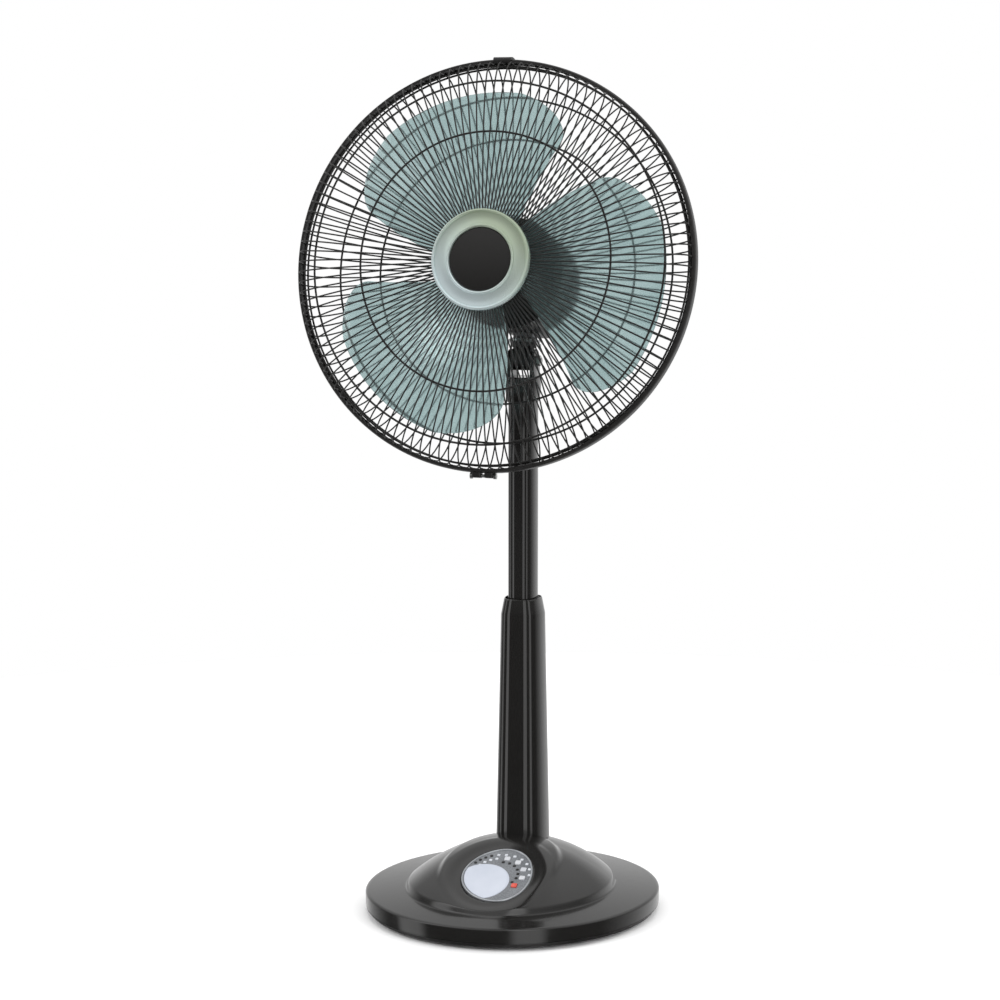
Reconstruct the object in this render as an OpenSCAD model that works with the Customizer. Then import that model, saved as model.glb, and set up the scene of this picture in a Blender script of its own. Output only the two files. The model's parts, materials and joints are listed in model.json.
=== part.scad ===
// Pedestal fan with a telescoping column, a tilting and swinging head and a key panel.
// Millimetres. The origin is the middle of the base on the floor, the front faces -Y.

/* [Base] */
// Half width of the base, left to right
base_half_w = 166; // [162:1:170]
// Half depth of the base, front to back
base_half_d = 180; // [177:1:186]
// Height of the base's outer edge
rim_h = 25; // [24:0.5:27]
// How far the raised middle of the cover swells above its edge
swell_h = 44; // [42:0.5:46]

/* [Column] */
// Distance of the column behind the middle of the base
column_y = 40; // [38:1:42]
// Height of the outer column's top
outer_top = 352; // [348:1:354]
// Height of the inner column's top at rest
inner_top = 596; // [594:1:598]

/* [Head] */
// Height of the tilt bolt
tilt_h = 622; // [621:0.5:623]
// Backward lean of the head at rest, in degrees
lean = 10; // [8:0.5:12]
// Distance from the tilt bolt up to the fan's axis
axis_rise = 89; // [88:0.5:90]

/* [Guard and blades] */
// Outer radius of the guard's rim band
guard_r = 225; // [223:0.5:226]
// Radial wires in each half of the guard
wire_count = 120; // [40:20:120]
// Radius that the blade tips sweep
sweep_r = 192; // [180:1:194]
// Blades on the hub
blade_count = 3; // [3:1:4]

/* [Hidden] */
$fn = 48;
gap = 0.3;
wall = 3;
foot_h = 4;
tray_z = foot_h + 0.2;
tray_t = 3;
wire_half = 0.85;
ring_half = 1.25;
wire_r = guard_r - 5;
front_rim_z = 131;
front_depth = 41;
rear_rim_z = 127;
rear_depth = 50;
front_bow = 3.2;
rear_bow = 3;
button_travel = 1;
foot_w = 30.8;
inner_w = 16;
panel_slope = 23;
panel_at = [5, -78, 57];
key_count = 5;
key_ring_r = 29;
foot_spots = [[0, -138], [118, -70], [-118, -70], [105, 104], [-105, 104]];
screw_spots = [[0, -162], [138, -50], [-138, -50], [130, 78], [-130, 78], [0, 148]];

// ---- shared shapes ----

// A curve of points given a thickness to both sides, as one closed outline
function slope_at(p, i) = p[min(i + 1, len(p) - 1)] - p[max(i - 1, 0)];
function side(p, i, d) = let (s = slope_at(p, i)) p[i] + d * [-s[1], s[0]] / norm(s);
function ribbon(p, half) = concat(
    [for (i = [0 : len(p) - 1]) side(p, i, half)],
    [for (i = [len(p) - 1 : -1 : 0]) side(p, i, -half)]
);

// An oblong column section: a flat facet in front, bevels beside it and full sides
function half_section(w, d, f) = [
    [f, -d], [f + 0.12 * w, -0.93 * d], [0.80 * w, -0.50 * d], [w, 0.05 * d],
    [0.97 * w, 0.45 * d], [0.72 * w, 0.85 * d], [0.30 * w, d]
];
function section(w, d, f) = let (h = half_section(w, d, f), n = len(h) - 1) concat(
    h, [for (i = [n : -1 : 0]) [-h[i][0], h[i][1]]]
);

// Sections of equal length stacked at heights, each given as [z, width, depth, facet]
module loft(levels) {
    rows = [for (v = levels) [for (p = section(v[1], v[2], v[3])) [p[0], p[1], v[0]]]];
    n = len(rows[0]);
    last = len(rows) - 1;
    sides = [
        for (k = [0 : last - 1], i = [0 : n - 1]) let (j = (i + 1) % n)
        for (t = [[k * n + i, (k + 1) * n + j, k * n + j], [k * n + i, (k + 1) * n + i, (k + 1) * n + j]]) t
    ];
    polyhedron(
        points = [for (r = rows, p = r) p],
        faces = concat(
            [[for (i = [0 : n - 1]) i]],
            sides,
            [[for (i = [n - 1 : -1 : 0]) last * n + i]]
        )
    );
}

module at_column() translate([0, column_y, 0]) children();
module at_head() translate([0, column_y, tilt_h]) rotate([-lean, 0, 0]) children();
module at_fan() at_head() translate([0, 0, axis_rise]) rotate([90, 0, 0]) children();
module at_panel() translate(panel_at) rotate([panel_slope, 0, 0]) children();

module tube(outer, inner, z0, z1) translate([0, 0, z0]) difference() {
    cylinder(r = outer, h = z1 - z0);
    translate([0, 0, -1]) cylinder(r = inner, h = z1 - z0 + 2);
}
module disc(r, z0, z1) translate([0, 0, z0]) cylinder(r = r, h = z1 - z0);
module slab(x0, x1, y0, y1, z0, z1) translate([x0, y0, z0]) cube([x1 - x0, y1 - y0, z1 - z0]);
module across(r, x0, x1) rotate([0, 90, 0]) disc(r, x0, x1);

// ---- base ----

island_w = 118;
island_d = 136;
island_y = -7;
ring_steps = 12;
ring_points = 48;

// The cover's height over a point: a shallow plate, a raised island and a pod in front
function plate_z(x, y) = rim_h + 9 * (1 - pow(x / base_half_w, 2) - pow(y / base_half_d, 2));
function island_z(q) = q >= 0.999 ? 0 : 5 + swell_h * pow(1 - q * q, 0.9);

// A flat pad under the key panel, blended into the swell around it
function pad_z(y) = panel_at[2] + (y - panel_at[1]) * tan(panel_slope);
function pad_reach(x, y) = norm([(x - panel_at[0]) / 41, (y - panel_at[1]) / 44]);
function ease(t) = let (u = min(max(t, 0), 1)) u * u * (3 - 2 * u);
function pad_mix(x, y, z) = let (w = ease((1.5 - pad_reach(x, y)) / 0.4)) z * (1 - w) + pad_z(y) * w;

// Rings 0 to 9 fill the island's ellipse, the rest spread from it to the outer edge
function ring_q(k) = k <= 9 ? k / 9 : 1;
function ring_s(k) = k <= 9 ? 0 : (k - 9) / (ring_steps - 9);
function ring_xy(k, a, inset) = let (
    s = ring_s(k), q = ring_q(k) * (k == 9 ? 1.012 : 1),
    w = island_w * (1 - s) + (base_half_w - inset) * s,
    d = island_d * (1 - s) + (base_half_d - inset) * s
) [q * w * cos(a), island_y * (1 - s) + q * d * sin(a)];
function cover_point(k, a, inset, drop) = let (
    p = ring_xy(k, a, inset), q = k <= 8 ? ring_q(k) : 1,
    z = plate_z(p[0], p[1]) + island_z(q)
) [p[0], p[1], pad_mix(p[0], p[1], z) - drop];

// One closed body below the height surface, down to the height z0
module cover_body(inset, drop, z0) {
    n = ring_points;
    top = [for (k = [1 : ring_steps], i = [0 : n - 1]) cover_point(k, i * 360 / n, inset, drop)];
    rim = [for (i = [0 : n - 1]) let (p = ring_xy(ring_steps, i * 360 / n, inset)) [p[0], p[1], z0]];
    peak = len(top) + n;
    rows = ring_steps;
    polyhedron(
        points = concat(top, rim, [cover_point(0, 0, inset, drop), [0, island_y, z0]]),
        faces = concat(
            [for (i = [0 : n - 1]) [i, peak, (i + 1) % n]],
            [for (k = [0 : rows - 1], i = [0 : n - 1]) let (a = k * n + i, b = k * n + (i + 1) % n)
                for (t = quad(a, b, b + n, a + n)) t],
            [for (i = [0 : n - 1]) [rows * n + i, rows * n + (i + 1) % n, peak + 1]]
        )
    );
}

// The panel's outline: an egg, taller on its right side and turned a little
function egg(grow) = [
    for (a = [0 : 10 : 350]) [(40 + grow) * cos(a), (47 + grow) * sin(a) * (1 + 0.12 * cos(a))]
];
module egg_plate(grow, z0, z1) translate([0, 0, z0]) rotate(8) linear_extrude(z1 - z0) polygon(egg(grow));

gland_r = 5;
module at_gland() translate([0, base_half_d - 12, 14.7]) rotate([-90, 0, 0]) children();

module base_cover() color("#333230") difference() {
    cover_body(0, 0, 8);
    cover_body(wall, wall, 7);
    at_column() translate([0, 0, 20]) linear_extrude(90) polygon(section(foot_w + gap, 32.2, 10.6));
    at_panel() egg_plate(gap, -30, 40);
    at_gland() disc(gland_r + gap, 0, 20);
}

socket_r = 46;
function ellipse_points(w, d) = [for (a = [0 : 5 : 355]) [w * cos(a), d * sin(a)]];
module oval(w, d, z0, z1) translate([0, 0, z0]) linear_extrude(z1 - z0) polygon(ellipse_points(w, d));

module base_tray() color("#2b2a29") difference() {
    union() {
        oval(base_half_w - wall - gap, base_half_d - wall - gap, tray_z, tray_z + tray_t);
        for (p = screw_spots) translate([p[0], p[1], tray_z + tray_t]) cylinder(r = 5, h = 6);
    }
    for (p = screw_spots) translate([p[0], p[1], 0]) cylinder(r = 2.1, h = 40);
    for (p = screw_spots) translate([p[0], p[1], 0]) cylinder(r = 4.2, h = tray_z + 2);
    for (p = foot_spots) translate([p[0], p[1], 0]) cylinder(r = 3.05, h = 20);
    at_column() for (a = [0 : 90 : 270]) rotate(a) translate([socket_r - 5, 0, 0]) cylinder(r = 2.1, h = 20);
}

module tray_screws() color("silver") for (p = screw_spots) translate([p[0], p[1], 0]) {
    disc(3.8, tray_z + 0.1, tray_z + 1.9);
    disc(1.9, tray_z + 1.5, 16);
}

module base_ballast() color("#4a4a4c") difference() {
    oval(112, 128, tray_z + tray_t + 0.2, tray_z + tray_t + 8);
    at_column() disc(socket_r + 2, 0, 40);
    for (p = foot_spots) translate([p[0], p[1], 0]) cylinder(r = 14, h = 40);
    for (p = screw_spots) translate([p[0], p[1], 0]) cylinder(r = 10, h = 40);
}

module foot_pads() color("#1c1c1c") for (p = foot_spots) translate([p[0], p[1], 0]) {
    disc(12, 0, foot_h);
    disc(3, foot_h - 0.5, tray_z + tray_t);
    disc(5, tray_z + tray_t + 0.1, tray_z + tray_t + 2.5);
    disc(2.6, tray_z + tray_t - 0.5, tray_z + tray_t + 1);
}

module cord_gland() color("#1c1c1c") at_gland() difference() {
    union() {
        disc(gland_r, 2, 11.4);
        disc(6.6, 0, 4);
    }
    disc(3.3, -1, 30);
}

module column_socket() color("#2f2e2d") at_column() {
    difference() {
        union() {
            disc(socket_r, tray_z + tray_t + 0.1, tray_z + tray_t + 5);
            loft([[10, foot_w + 3, 34.8, 11.6], [60, foot_w + 3, 34.8, 11.6]]);
        }
        loft([[11, foot_w + gap, 32.2, 10.6], [90, foot_w + gap, 32.2, 10.6]]);
        for (a = [0 : 90 : 270]) rotate(a) translate([socket_r - 5, 0, 0]) cylinder(r = 2.1, h = 20);
    }
}

module socket_screws() color("silver") at_column() for (a = [0 : 90 : 270]) rotate(a) translate([socket_r - 5, 0, 0]) {
    disc(3.6, tray_z + tray_t + 5.1, tray_z + tray_t + 7.4);
    disc(1.9, tray_z + 0.5, tray_z + tray_t + 5.6);
}

// ---- key panel and electrics ----

key_size = 6.4;
key_top = 1.8;
bezel_w = 2;
function ring_spot(a) = [1 + key_ring_r * cos(a), 1 + key_ring_r * sin(a)];
function key_spot(i) = ring_spot(-36 + i * 30);
module key_square(grow, z0, z1) translate([-key_size / 2 - grow, -key_size / 2 - grow, z0])
    cube([key_size + 2 * grow, key_size + 2 * grow, z1 - z0]);
module at_key(i) at_panel() translate(key_spot(i)) children();

module panel_bezel() color("#8f9296") at_panel() difference() {
    egg_plate(0, -6, 1.4);
    egg_plate(-bezel_w, -7, 2);
}

module panel_lens() color("#dfe5ee") at_panel() difference() {
    egg_plate(-bezel_w - gap, -2.4, 0.4);
    for (i = [0 : key_count - 1]) translate(key_spot(i)) key_square(gap, -3, 2);
}

module panel_bracket() color("#2b2a29") at_panel() difference() {
    egg_plate(-bezel_w - gap, -12, -10);
    egg_plate(-9, -13, -9);
}

module key(i) at_key(i) {
    key_square(0, -2.2, key_top);
    translate([0, 0, -3.2]) cylinder(r = 1.6, h = 1.2);
}
module power_button() color("#c8473c") key(0);
module speed_button() color("#d9dce0") key(1);
module timer_button() color("#d9dce0") key(2);
module rhythm_button() color("#d9dce0") key(3);
module swing_button() color("#d9dce0") key(4);

module control_board() color("#2f5d3a") at_panel() egg_plate(-4, -9.8, -8.2);

module tact_switches() color("#222222") for (i = [0 : key_count - 1]) at_key(i) {
    slab(-3, 3, -3, 3, -8.1, -5.2);
    disc(1.4, -5.3, -4.4);
}

module indicator_leds() color("#e8ecf0") at_panel() for (a = [108 : 14 : 178])
    translate(ring_spot(a)) slab(-1.5, 1.5, -1.5, 1.5, -8.1, -2.7);

module ir_receiver() color("#1a1a1a") at_panel() slab(-20, -14, -20, -15, -8.1, -2.8);

module power_board() color("#35603c") {
    slab(52, 100, -30, 40, 18, 19.6);
    slab(56, 84, -26, 2, 19.6, 34);
    slab(58, 74, 12, 30, 19.6, 30);
    for (x = [55, 97], y = [-27, 37]) translate([x, y, 0]) disc(3, tray_z + tray_t + 8.1, 18);
}

module run_capacitor() color("#3a3a3e") slab(-98, -58, 8, 28, tray_z + tray_t + 8.1, 36);

// ---- column ----

knob_z = 330;

module outer_column() color("#333230") at_column() difference() {
    loft([[11.3, foot_w, 31.9, 10.4], [334, 24.3, 25.5, 8.2], [outer_top, 20.6, 22.6, 6.6]]);
    loft([[10, foot_w - 3, 28.9, 8.6], [334.2, 21.3, 22.7, 6.6], [outer_top + 3, 18.6, 21.3, 5.6]]);
    translate([0, 12, knob_z]) rotate([-90, 0, 0]) cylinder(r = 3.1, h = 30);
}

module column_collar() color("#232221") at_column() difference() {
    loft([[335, 20.6, 22.2, 6.2], [outer_top - 0.4, 18.2, 21, 5.4]]);
    loft([[334, inner_w + gap, 19.3, 5.2], [outer_top + 3, inner_w + gap, 19.3, 5.2]]);
}

module height_knob() color("#262524") at_column() translate([0, 0, knob_z]) rotate([-90, 0, 0]) {
    difference() {
        disc(14, 27, 41);
        for (a = [0 : 45 : 315]) rotate(a) translate([15.6, 0, 26]) cylinder(r = 3, h = 16);
    }
    disc(3, 19.8, 27.5);
}

module inner_column() color("#2f2e2c") at_column() difference() {
    loft([[225, inner_w, 19, 5], [inner_top, inner_w, 19, 5]]);
    loft([[224, inner_w - 2.2, 16.8, 4.2], [inner_top + 2, inner_w - 2.2, 16.8, 4.2]]);
}

module mast_foot() color("#c9c9c4") at_column() difference() {
    union() {
        loft([[218, inner_w + 2.4, 21.6, 5.8], [224.8, inner_w + 2.4, 21.6, 5.8]]);
        loft([[220, inner_w - 2.4, 16.6, 4], [244, inner_w - 2.4, 16.6, 4]]);
    }
    disc(8, 210, 250);
}

// ---- tilting neck ----

ear_in = 11.3;
ear_out = 16;

module neck_socket() color("#2f2e2c") at_column() {
    difference() {
        union() {
            loft([[576, inner_w + 1.7, 20.6, 6], [590, inner_w + 3.2, 22, 6.6], [604, inner_w + 3.2, 20, 6.6]]);
            for (s = [-1, 1]) translate([s * (ear_in + ear_out) / 2, 0, 0]) {
                slab(-2.35, 2.35, -13, 13, 600, tilt_h);
                translate([0, 0, tilt_h]) across(13, -2.35, 2.35);
            }
        }
        loft([[570, inner_w + 0.2, 19.2, 5.1], [inner_top + 0.3, inner_w + 0.2, 19.2, 5.1]]);
        translate([0, 0, tilt_h]) across(3.05, -20, 20);
        translate([0, 0, tilt_h]) across(12, -ear_in, ear_in);
    }
}

module tilt_bolt() color("silver") at_column() translate([0, 0, tilt_h]) {
    across(3, -17, 22);
    across(6, -19.5, -16.1);
}

module tilt_nut() color("silver") at_column() translate([0, 0, tilt_h]) rotate([0, 90, 0]) difference() {
    translate([0, 0, 16.1]) cylinder(r = 6, h = 4.4, $fn = 6);
    disc(3.02, 10, 30);
}

pin_r = 5;
crank_y = 20;
crank_r = 14;

module neck_yoke() color("#2b2a29") at_head() difference() {
    union() {
        across(11, -11, 11);
        slab(-11, 11, -11, 11, 0, 15);
        disc(14, 14, 26);
    }
    across(3.06, -20, 20);
    disc(pin_r + 0.05, 8, 30);
}

module swing_slot_plate() color("#8c8c8c") at_head() difference() {
    union() {
        disc(18, 20, 23);
        slab(-8, 8, 12, 42, 20, 23);
    }
    disc(14.02, 19, 24);
    slab(-3.4, 3.4, 20, 38, 19, 24);
}

// ---- motor and swing drive ----

motor_r = 58;
shell = 2.5;
post_r = 36;
lug_r = 47;

module swing_pin() color("silver") at_head() disc(pin_r, 8.3, 46);

module motor_bracket() color("#77787a") at_head() difference() {
    union() {
        disc(12, 26.4, 46);
        slab(-14, 14, -16, -4, 40, 60);
        translate([0, 0, axis_rise]) rotate([90, 0, 0]) {
            disc(42, 12, 16);
            for (a = [45 : 90 : 315]) rotate(a) translate([post_r, 0, 0]) disc(3, 15, 27.8);
        }
    }
    disc(pin_r + 0.02, 20, 50);
    translate([0, 0, axis_rise]) rotate([90, 0, 0]) disc(8, 0, 20);
    slab(-15, 15, -11.9, 15, 46, 70);
}

// Rear shell profile in radius and distance along the axis, drawn again for the inside
function shell_profile(t) = [
    [0, -62 + t], [28 - t, -61 + t], [44 - t, -56 + t], [54 - t, -40 + t], [57 - t, -10],
    [motor_r - t, 24], [motor_r - t, 46 + 2 * t], [0, 46 + 2 * t]
];

module motor_rear_cover() color("#262524") difference() {
    union() {
        at_fan() rotate_extrude() polygon(shell_profile(0));
        at_head() slab(-21, 21, -15, 46, 30, 62);
    }
    at_fan() rotate_extrude() polygon(shell_profile(shell));
    at_head() slab(-18.6, 18.6, -12.5, 43.5, 32.5, 70);
    at_head() disc(12.4, 20, 40);
    at_head() translate([0, crank_y, 0]) disc(4, 20, 40);
    at_fan() for (a = [0 : 30 : 330]) rotate(a) slab(12, 25, -1.5, 1.5, -66, -54);
}

module motor_front_cover() color("#262524") at_fan() difference() {
    union() {
        rotate_extrude() polygon([[0, 46.2], [motor_r, 46.2], [motor_r, 64], [50, 71], [0, 71]]);
        disc(19, 70, 88);
    }
    difference() {
        rotate_extrude() polygon([[0, 45], [motor_r - shell, 45], [motor_r - shell, 63], [48.6, 68.4], [0, 68.4]]);
        disc(11, 64.5, 70);
        for (a = [0 : 90 : 270]) rotate(a + 20) translate([lug_r, 0, 0]) disc(4.5, 46.2, 70);
    }
    for (a = [0 : 90 : 270]) rotate(a + 20) translate([lug_r, 0, 0]) disc(1.9, 40, 80);
    disc(8, 60, 73);
    disc(14, 72.5, 90);
}

module cover_screws() color("silver") at_fan() for (a = [0 : 90 : 270]) rotate(a + 20) translate([lug_r, 0, 0]) {
    disc(3.2, 71.1, 73.2);
    disc(1.6, 47, 71.5);
}

module stator_core() color("#6f7174") at_fan() tube(42, 22.6, 28, 56);

module stator_windings() color("#a8622c") at_fan() {
    tube(32, 24.4, 56.1, 63.5);
    tube(32, 24.4, 20.5, 27.9);
}

module motor_bushes() color("#b08d57") at_fan() {
    tube(7.98, 4.05, 12, 16);
    tube(7.98, 4.05, 66, 72);
}

module swing_motor() color("#b9bbbd") at_head() difference() {
    translate([0, crank_y + 8.2, 0]) disc(14.5, 34, 47);
    translate([0, crank_y, 0]) disc(2.45, 30, 44);
}

module swing_crank() color("#d8d5c8") at_head() translate([0, crank_y, 0]) {
    disc(5, 25, 28.2);
    slab(-4, 4, 0, crank_r, 25, 28.2);
    disc(2.4, 28, 43.5);
    translate([0, crank_r, 0]) {
        disc(4.5, 25, 28.2);
        disc(2.5, 18.5, 25.5);
    }
}

// ---- spinning parts ----

shaft_r = 4;
hub_r = 26;
blade_mid = 124;
blade_half = 22;
first_blade = 123.5;
span_deg = 48;
span_steps = 16;
reach_steps = 12;

module rotor_core() color("#8a8c8f") at_fan() tube(22, shaft_r + 0.02, 28, 56);
module motor_shaft() color("silver") at_fan() difference() {
    disc(shaft_r, 9, 158);
    translate([0, 0, 103]) across(1.52, -10, 10);
}
module drive_pin() color("silver") at_fan() translate([0, 0, 103]) across(1.5, -11, 11);

// A blade leans along its width, trails back towards its tip and has rounded corners there
function tip_round(v) = v < 0.75 ? 1 : sqrt(1 - 0.72 * pow((v - 0.75) / 0.25, 2));
function blade_span(v) = span_deg * (1.04 - 0.1 * v) * tip_round(v);
function blade_xyz(u, v, up) = let (
    r = hub_r - 1.5 + v * (sweep_r - hub_r + 1.5),
    a = u * blade_span(v) - 15 * v,
    rise = blade_half * u * blade_span(v) / span_deg * (1 - 0.28 * v) + 3 * (1 - u * u)
) [r * cos(a), r * sin(a), blade_mid + rise + up];

function quad(a, b, c, d) = [[a, b, c], [a, c, d]];
module one_blade() {
    n = span_steps + 1;
    m = reach_steps + 1;
    low = n * m;
    out = (m - 1) * n;
    sheet = [for (up = [1.1, -1.1], j = [0 : m - 1], i = [0 : n - 1])
        blade_xyz(2 * i / span_steps - 1, j / reach_steps, up)];
    cells = [for (j = [0 : m - 2], i = [0 : n - 2]) j * n + i];
    polyhedron(points = sheet, faces = concat(
        [for (k = cells, t = quad(k, k + 1, k + n + 1, k + n)) t],
        [for (k = cells, t = quad(low + k, low + k + n, low + k + n + 1, low + k + 1)) t],
        [for (i = [0 : n - 2], t = quad(i + 1, i, low + i, low + i + 1)) t],
        [for (k = [out : out + n - 2], t = quad(k, k + 1, low + k + 1, low + k)) t],
        [for (k = [0 : n : out - n], t = quad(k, k + n, low + k + n, low + k)) t],
        [for (k = [n - 1 : n : out - 1], t = quad(k + n, k, low + k, low + k + n)) t]
    ));
}

module blade() color("#7d9b9b", 0.8) at_fan() difference() {
    union() {
        difference() {
            disc(hub_r, 98, 148);
            disc(hub_r - 2.5, 97, 145);
        }
        disc(9, 99, 150);
        for (i = [0 : blade_count - 1]) rotate(first_blade + i * 360 / blade_count) one_blade();
    }
    disc(shaft_r + 0.04, 90, 160);
    slab(-11.3, 11.3, -1.7, 1.7, 98, 105);
}

module spinner_nut() color("#3a3937") at_fan() difference() {
    rotate_extrude() polygon([[0, 150.3], [15, 150.3], [15, 158], [11, 163.5], [0, 164.5]]);
    disc(shaft_r + 0.04, 140, 159);
}

// ---- guard ----

function front_z(r) = front_rim_z + front_depth * pow(1 - pow(r / (wire_r + 1), front_bow), 1 / front_bow);
function rear_z(r) = rear_rim_z - rear_depth * pow(1 - pow(r / (wire_r + 1), rear_bow), 1 / rear_bow);
wire_stops = [90, 130, 160, 180, 195, 206, 214, wire_r];
front_wire = [for (r = concat(44, wire_stops)) [r, front_z(r)]];
rear_wire = [for (r = concat(52, wire_stops)) [r, rear_z(r)]];

module wires(points) for (i = [0 : wire_count - 1]) rotate(i * 360 / wire_count) rotate([90, 0, 0])
    translate([0, 0, -wire_half]) linear_extrude(2 * wire_half) polygon(ribbon(points, wire_half));
module hoop(r, z) rotate_extrude($fn = 96) translate([r, z]) circle(r = ring_half, $fn = 16);

// Hoops lie against the inner side of the wires
hoop_lift = wire_half + ring_half + 0.1;
module rear_guard_wires() color("#262626") at_fan() wires(rear_wire);
module rear_guard_rings() color("#262626") at_fan() {
    for (r = [146, 190]) hoop(r, rear_z(r) + hoop_lift + (r > 150 ? 0.6 : 0.1));
    hoop(wire_r - 5, rear_rim_z - 4);
}
module front_guard_wires() color("#262626") at_fan() wires(front_wire);
module front_guard_rings() color("#262626") at_fan() {
    hoop(140, front_z(140) - hoop_lift - 0.2);
    hoop(196.5, front_z(197) - hoop_lift - 0.9);
    hoop(wire_r - 5, front_rim_z + 3.5);
}

module rear_guard_plate() color("#2b2b2b") at_fan() {
    tube(62, 19.3, 73.5, 75.7);
    tube(30, 19.3, 71.2, 73.6);
}

module rear_guard_nut() color("#2b2a29") at_fan() difference() {
    union() {
        disc(30, 76, 82);
        for (a = [0 : 45 : 315]) rotate(a) translate([30, 0, 0]) disc(4, 76, 82);
    }
    disc(19.2, 70, 90);
}

module front_guard_plate() color("#2b2b2b") at_fan() tube(50, 8, 168.2, 170.7);
module front_guard_boss() color("#2b2b2b") at_fan() disc(54, 173.3, 176.4);

module badge_ring() color("#b9c1ba") at_fan() rotate_extrude() polygon([
    [34.6, 176.5], [54.5, 176.5], [54.5, 180], [52.5, 182.6], [50, 182], [39, 182], [36.5, 183.4], [34.6, 181.5]
]);
module badge_disc() color("#2e2c2b") at_fan() rotate_extrude() polygon([
    [0, 176.5], [34.3, 176.5], [34.3, 181], [30, 182.2], [0, 183]
]);

tab_y = guard_r + 3;
module rim_band() color("#1f1f1f") at_fan() difference() {
    union() {
        rotate_extrude($fn = 96) polygon([
            [wire_r + 0.6, 121], [guard_r, 121], [guard_r, 137], [wire_r + 0.6, 137],
            [wire_r + 0.6, 135.4], [guard_r - 2, 135.4], [guard_r - 2, 122.6], [wire_r + 0.6, 122.6]
        ]);
        for (s = [-1, 1]) translate([s * 7, -tab_y, 0]) slab(-5, 5, -4, 4, 124, 134);
    }
    translate([0, -tab_y, 129]) across(1.85, -20, 20);
}
module rim_screw() color("silver") at_fan() translate([0, -tab_y, 129]) {
    across(1.8, -13, 14);
    across(3.4, -14.5, -12.1);
    rotate([0, 90, 0]) translate([0, 0, 12.1]) cylinder(r = 3.6, h = 2.8, $fn = 6);
}
module top_clip() color("#1f1f1f") at_fan() {
    slab(-10, 10, guard_r + 0.1, guard_r + 3, 119, 139);
    slab(-10, 10, guard_r - 5, guard_r + 1, 119, 120.8);
    slab(-10, 10, guard_r - 5, guard_r + 1, 137.2, 139);
}

base_cover();
base_tray();
base_ballast();
foot_pads();
tray_screws();
cord_gland();
column_socket();
socket_screws();
panel_bezel();
panel_lens();
panel_bracket();
power_button();
speed_button();
timer_button();
rhythm_button();
swing_button();
control_board();
tact_switches();
indicator_leds();
ir_receiver();
power_board();
run_capacitor();
outer_column();
column_collar();
height_knob();
inner_column();
mast_foot();
neck_socket();
tilt_bolt();
tilt_nut();
neck_yoke();
swing_slot_plate();
swing_pin();
motor_bracket();
motor_rear_cover();
motor_front_cover();
cover_screws();
stator_core();
stator_windings();
motor_bushes();
swing_motor();
swing_crank();
rotor_core();
motor_shaft();
drive_pin();
blade();
spinner_nut();
rear_guard_plate();
rear_guard_nut();
rear_guard_wires();
rear_guard_rings();
front_guard_wires();
front_guard_rings();
front_guard_plate();
front_guard_boss();
badge_ring();
badge_disc();
rim_band();
rim_screw();
top_clip();
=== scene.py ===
import json
import math
import bmesh
import bpy
import numpy as np
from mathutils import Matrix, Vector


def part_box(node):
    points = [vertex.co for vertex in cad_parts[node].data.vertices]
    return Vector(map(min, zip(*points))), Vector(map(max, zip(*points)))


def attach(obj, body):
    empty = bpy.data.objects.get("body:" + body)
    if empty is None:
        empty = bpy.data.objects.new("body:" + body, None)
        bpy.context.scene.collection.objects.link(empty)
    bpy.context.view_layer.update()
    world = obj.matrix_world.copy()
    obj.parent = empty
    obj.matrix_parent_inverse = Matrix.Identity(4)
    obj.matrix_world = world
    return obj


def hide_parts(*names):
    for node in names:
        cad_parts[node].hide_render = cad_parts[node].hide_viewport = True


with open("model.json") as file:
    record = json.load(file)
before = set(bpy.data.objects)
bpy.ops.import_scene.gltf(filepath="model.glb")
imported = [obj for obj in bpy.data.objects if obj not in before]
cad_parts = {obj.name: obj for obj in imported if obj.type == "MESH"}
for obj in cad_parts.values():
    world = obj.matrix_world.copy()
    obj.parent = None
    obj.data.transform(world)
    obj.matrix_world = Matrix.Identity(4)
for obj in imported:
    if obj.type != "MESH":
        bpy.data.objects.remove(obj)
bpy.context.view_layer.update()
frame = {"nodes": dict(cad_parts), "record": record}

# Pedestal fan. Shapes are worked out in millimetres and turned to metres in makeMesh.
print("frame loaded")
joints = {j["name"]: j for j in frame["record"]["behaviour"]["joints"]}
mm = 0.001
mergeGap = 0.002 * mm       # points closer than this are one point


# Places taken from the frame.

swingPoint = np.array(joints["head_swing"]["pos_m"]) / mm
headUp = np.array(joints["head_swing"]["axis"])
fanPoint = np.array(joints["blade_spin"]["pos_m"]) / mm
fanAhead = np.array(joints["blade_spin"]["axis"])
fanRight = np.array([1.0, 0.0, 0.0])
keyDown = np.array(joints["power_press"]["axis"])
columnY = swingPoint[1]
tiltHeight = swingPoint[2]


def boxMm(nodeName):
    # a node's low and high corners, in millimetres
    low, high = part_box(nodeName)
    return np.array(low) / mm, np.array(high) / mm


def placeFan(p):      # x right, y up the head, z ahead along the fan's axis
    p = np.asarray(p, float)
    return fanPoint + p[..., 0:1] * fanRight + p[..., 1:2] * headUp + p[..., 2:3] * fanAhead


def placeHead(p):     # x right, y back, z up the head, from the tilt bolt
    p = np.asarray(p, float)
    return swingPoint + p[..., 0:1] * fanRight - p[..., 1:2] * fanAhead + p[..., 2:3] * headUp


def placeColumn(p):   # upright, centred on the column
    return np.asarray(p, float) + np.array([0.0, columnY, 0.0])


# Mesh helpers.

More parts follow.
